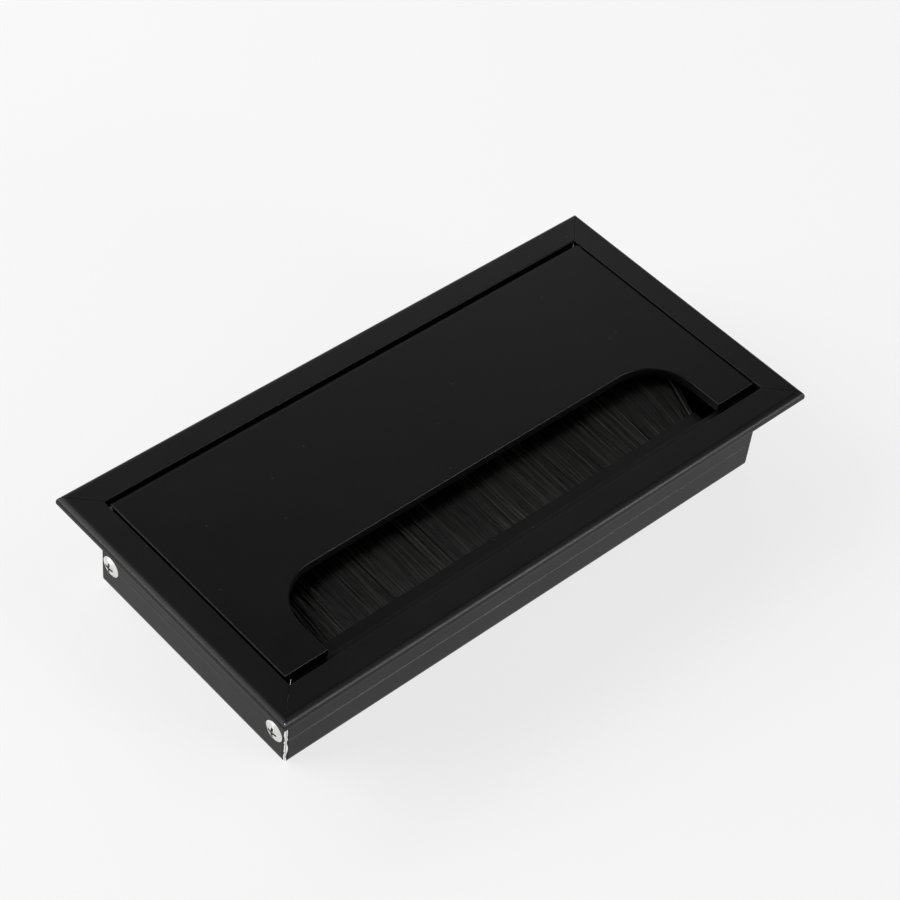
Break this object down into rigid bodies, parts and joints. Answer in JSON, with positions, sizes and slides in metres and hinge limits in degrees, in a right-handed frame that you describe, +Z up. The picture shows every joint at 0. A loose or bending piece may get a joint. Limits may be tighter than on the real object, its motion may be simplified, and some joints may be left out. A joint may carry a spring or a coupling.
{
  "type": "desk cable grommet",
  "caption": "Rectangular black aluminium desk cable grommet: mitred flanged frame, hinged flip lid with a wide cable cut-out, and a strip brush that closes the slot.",
  "frame": {"origin": "centre of the base that the frame stands on", "axes": "+X along the length, +Y towards the hinge, +Z up through the lid"},
  "size_m": [0.16, 0.08, 0.0275],
  "materials": {
    "anodised_rail": "fine bead-blasted, black anodised, matt",
    "anodised_lid": "fine bead-blasted, black anodised, matt",
    "pin_steel": "ground bright",
    "black_channel": "matt black coating",
    "core_wire": "drawn bright",
    "nylon_bristle": "drawn nylon filament, satin",
    "plated_screw": "bright plated"
  },
  "bodies": {
    "frame": {"front_rail": "anodised_rail", "rear_rail": "anodised_rail", "left_rail": "anodised_rail", "right_rail": "anodised_rail", "brush_channel": "black_channel", "brush_wire": "core_wire", "brush_bristles": "nylon_bristle", "frame_screws": "plated_screw"},
    "lid": {"lid": "anodised_lid", "left_hinge_pin": "pin_steel", "right_hinge_pin": "pin_steel"}
  },
  "joints": [
    {"name": "lid_hinge", "type": "hinge", "parent": "frame", "child": "lid", "pos_m": [0, 0.0302, 0.0263], "axis": [-1, 0, 0], "range_deg": [0, 110]}
  ]
}
